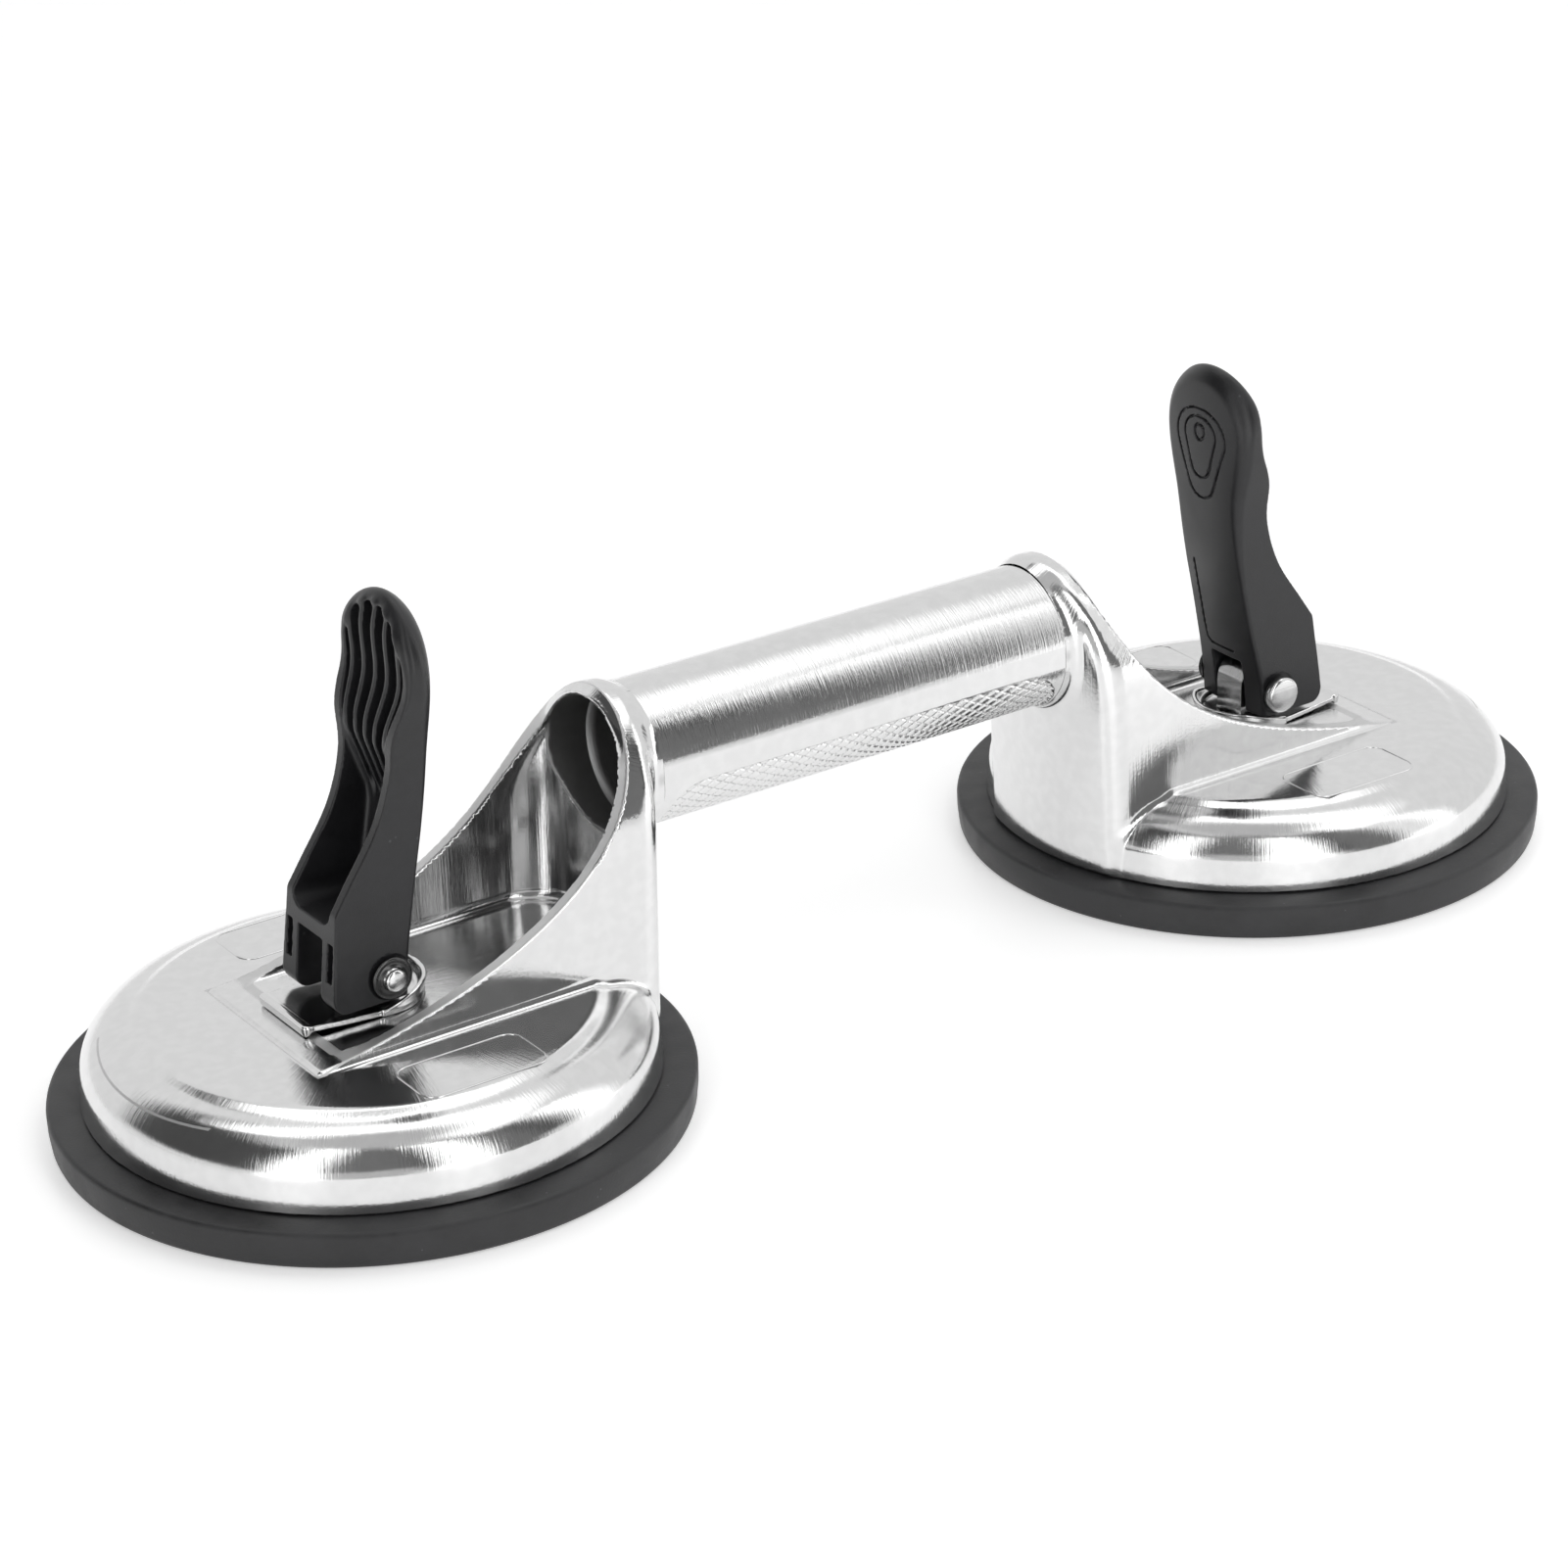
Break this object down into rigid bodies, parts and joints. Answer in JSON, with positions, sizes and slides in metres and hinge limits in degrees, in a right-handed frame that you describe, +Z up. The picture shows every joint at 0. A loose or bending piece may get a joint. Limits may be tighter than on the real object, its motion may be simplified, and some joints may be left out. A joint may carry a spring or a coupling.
{
  "type": "floor tile suction lifter",
  "caption": "Twin suction cup lifter with a hollow cast handle and a folding plastic cam lever over each rubber pad.",
  "frame": {"origin": "middle of the footprint on the surface that the rubber pads stand on", "axes": "+X along the handle from the left cup to the right cup; +Z up; +Y across the handle"},
  "size_m": [0.328, 0.12, 0.1017],
  "materials": {
    "cast_aluminium": "polished",
    "pad_rubber": "matte",
    "lever_plastic": "satin",
    "plate_steel": "satin",
    "pin_steel": "polished",
    "inner_steel": "satin",
    "spring_steel": "satin"
  },
  "bodies": {
    "frame": {"body_casting": "cast_aluminium", "left_rubber_pad": "pad_rubber", "left_wear_plate": "plate_steel", "left_return_spring": "spring_steel", "right_rubber_pad": "pad_rubber", "right_wear_plate": "plate_steel", "right_return_spring": "spring_steel"},
    "left_lift": {"left_backing_disc": "inner_steel", "left_pull_stem": "inner_steel", "left_pivot_pin": "pin_steel", "left_pin_washer": "pin_steel"},
    "left_lever_body": {"left_lever": "lever_plastic"},
    "right_lift": {"right_backing_disc": "inner_steel", "right_pull_stem": "inner_steel", "right_pivot_pin": "pin_steel", "right_pin_washer": "pin_steel"},
    "right_lever_body": {"right_lever": "lever_plastic"}
  },
  "joints": [
    {"name": "left_stem_lift", "type": "slide", "parent": "frame", "child": "left_lift", "axis": [0, 0, 1], "range_m": [0, 0.0074], "deforming": ["left_return_spring"]},
    {"name": "left_lever_fold", "type": "hinge", "parent": "left_lift", "child": "left_lever_body", "pos_m": [-0.104, 0, 0.0305], "axis": [0, -1, 0], "range_deg": [0, 95]},
    {"name": "right_stem_lift", "type": "slide", "parent": "frame", "child": "right_lift", "axis": [0, 0, 1], "range_m": [0, 0.0074], "deforming": ["right_return_spring"]},
    {"name": "right_lever_fold", "type": "hinge", "parent": "right_lift", "child": "right_lever_body", "pos_m": [0.104, 0, 0.0305], "axis": [0, 1, 0], "range_deg": [0, 95]}
  ],
  "couplings": [
    {"joint": "left_lever_fold", "follows": "left_stem_lift", "rad_per_m": 224},
    {"joint": "right_lever_fold", "follows": "right_stem_lift", "rad_per_m": 224}
  ]
}
